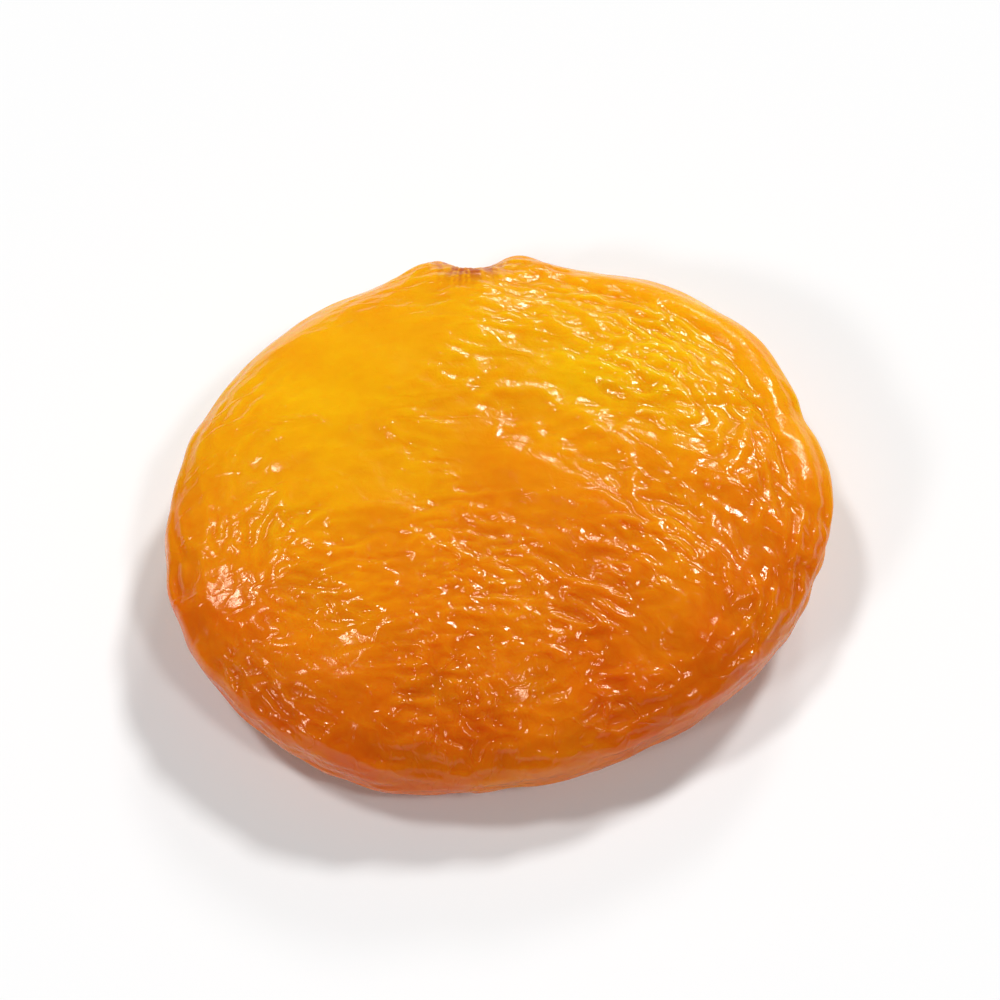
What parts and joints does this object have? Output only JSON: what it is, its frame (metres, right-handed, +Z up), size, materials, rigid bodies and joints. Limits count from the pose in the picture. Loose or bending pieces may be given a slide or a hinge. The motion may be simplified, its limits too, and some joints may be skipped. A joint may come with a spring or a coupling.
{
  "type": "dried apricot",
  "caption": "Whole dried apricot without its stone: a soft round slab pressed flat, with wrinkled glossy skin, a puckered stem scar and a slit in its rim. Rests on one cheek.",
  "frame": {"origin": "the middle of the fruit's bounding box, on the surface that it rests on", "axes": "+Z up, away from the surface; +X along the wider measure, cheek to cheek; +Y towards the stem end"},
  "size_m": [0.042, 0.0388, 0.0093],
  "materials": {
    "dried_flesh": "glossy, wrinkled, translucent orange fruit skin"
  },
  "bodies": {
    "root": {"apricot": "dried_flesh"}
  },
  "joints": []
}
